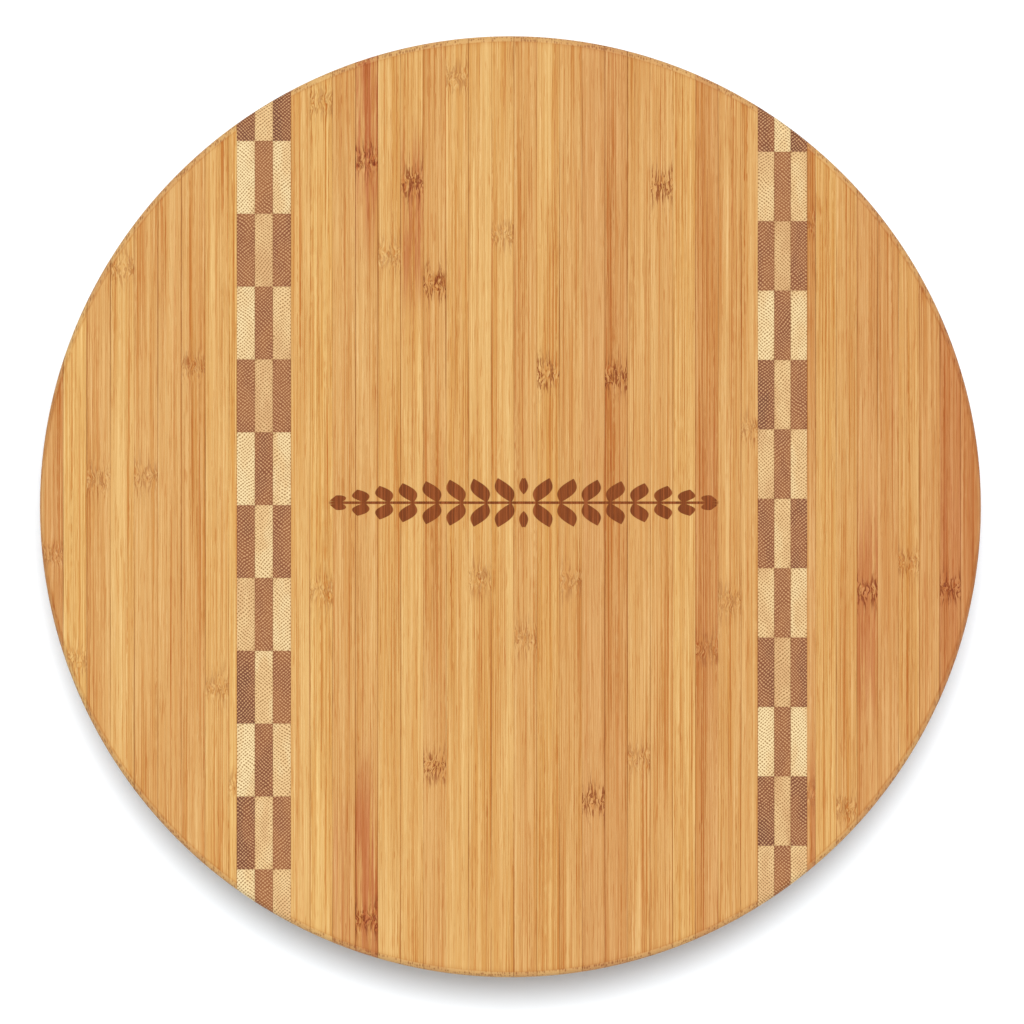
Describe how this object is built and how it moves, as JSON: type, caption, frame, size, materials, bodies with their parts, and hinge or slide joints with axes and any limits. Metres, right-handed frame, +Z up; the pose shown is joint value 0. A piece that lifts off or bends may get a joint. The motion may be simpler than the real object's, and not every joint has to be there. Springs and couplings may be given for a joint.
{
  "type": "lazy susan turntable",
  "caption": "Round edge-glued bamboo board with two chequered end-grain inlays, free-turning on a stamped ball bearing over a small plywood base with rubber feet.",
  "frame": {"origin": "on the spin axis, at the height of the table that the rubber feet stand on (the centre of the bottom of the bounding box)", "axes": "+Z up along the spin axis and out of the serving face, +Y along the staves' grain, +X across the grain towards the narrower inlay"},
  "size_m": [0.3556, 0.3556, 0.04],
  "materials": {
    "natural_bamboo": "sanded bamboo, oiled to a low sheen",
    "light_end_grain_bamboo": "sanded end grain of natural bamboo, oiled",
    "dark_end_grain_bamboo": "sanded end grain of steamed (caramel) bamboo, oiled",
    "cross_ply_bamboo": "sanded bamboo with the grain across",
    "galvanised_steel": "pressed from galvanised sheet, dull",
    "zinc_plated_screws": "bright zinc plate",
    "polished_steel": "polished bearing steel",
    "nylon": "natural nylon",
    "rubber": "moulded black rubber, matt"
  },
  "bodies": {
    "base": {"lower_bearing_plate": "galvanised_steel", "lower_plate_screws": "zinc_plated_screws", "base_top_ply": "natural_bamboo", "base_core_ply": "cross_ply_bamboo", "base_bottom_ply": "natural_bamboo", "rubber_feet": "rubber", "foot_washers": "galvanised_steel", "foot_screws": "zinc_plated_screws"},
    "turntable": {"left_stave_1": "natural_bamboo", "left_stave_2": "natural_bamboo", "left_stave_3": "natural_bamboo", "left_stave_4": "natural_bamboo", "left_stave_5": "natural_bamboo", "left_stave_6": "natural_bamboo", "left_stave_7": "natural_bamboo", "left_stave_8": "natural_bamboo", "left_stave_9": "natural_bamboo", "centre_stave_1": "natural_bamboo", "centre_stave_2": "natural_bamboo", "centre_stave_3": "natural_bamboo", "centre_stave_4": "natural_bamboo", "centre_stave_5": "natural_bamboo", "centre_stave_6": "natural_bamboo", "centre_stave_7": "natural_bamboo", "centre_stave_8": "natural_bamboo", "centre_stave_9": "natural_bamboo", "centre_stave_10": "natural_bamboo", "centre_stave_11": "natural_bamboo", "centre_stave_12": "natural_bamboo", "centre_stave_13": "natural_bamboo", "centre_stave_14": "natural_bamboo", "centre_stave_15": "natural_bamboo", "centre_stave_16": "natural_bamboo", "centre_stave_17": "natural_bamboo", "centre_stave_18": "natural_bamboo", "centre_stave_19": "natural_bamboo", "centre_stave_20": "natural_bamboo", "centre_stave_21": "natural_bamboo", "right_stave_1": "natural_bamboo", "right_stave_2": "natural_bamboo", "right_stave_3": "natural_bamboo", "right_stave_4": "natural_bamboo", "right_stave_5": "natural_bamboo", "right_stave_6": "natural_bamboo", "right_stave_7": "natural_bamboo", "right_stave_8": "natural_bamboo", "right_stave_9": "natural_bamboo", "left_inlay_light_edge_blocks": "light_end_grain_bamboo", "left_inlay_light_centre_blocks": "light_end_grain_bamboo", "right_inlay_light_edge_blocks": "light_end_grain_bamboo", "right_inlay_light_centre_blocks": "light_end_grain_bamboo", "left_inlay_dark_edge_blocks": "dark_end_grain_bamboo", "left_inlay_dark_centre_blocks": "dark_end_grain_bamboo", "right_inlay_dark_edge_blocks": "dark_end_grain_bamboo", "right_inlay_dark_centre_blocks": "dark_end_grain_bamboo", "upper_bearing_plate": "galvanised_steel", "upper_plate_screws": "zinc_plated_screws"},
    "cage": {"ball_cage": "nylon", "bearing_balls": "polished_steel"}
  },
  "joints": [
    {"name": "turntable_spin", "type": "hinge", "parent": "base", "child": "turntable", "pos_m": [0, 0, 0.018], "axis": [0, 0, 1], "continuous": true},
    {"name": "cage_spin", "type": "hinge", "parent": "base", "child": "cage", "pos_m": [0, 0, 0.018], "axis": [0, 0, 1], "continuous": true}
  ],
  "couplings": [
    {"joint": "cage_spin", "follows": "turntable_spin", "ratio": 0.5}
  ]
}
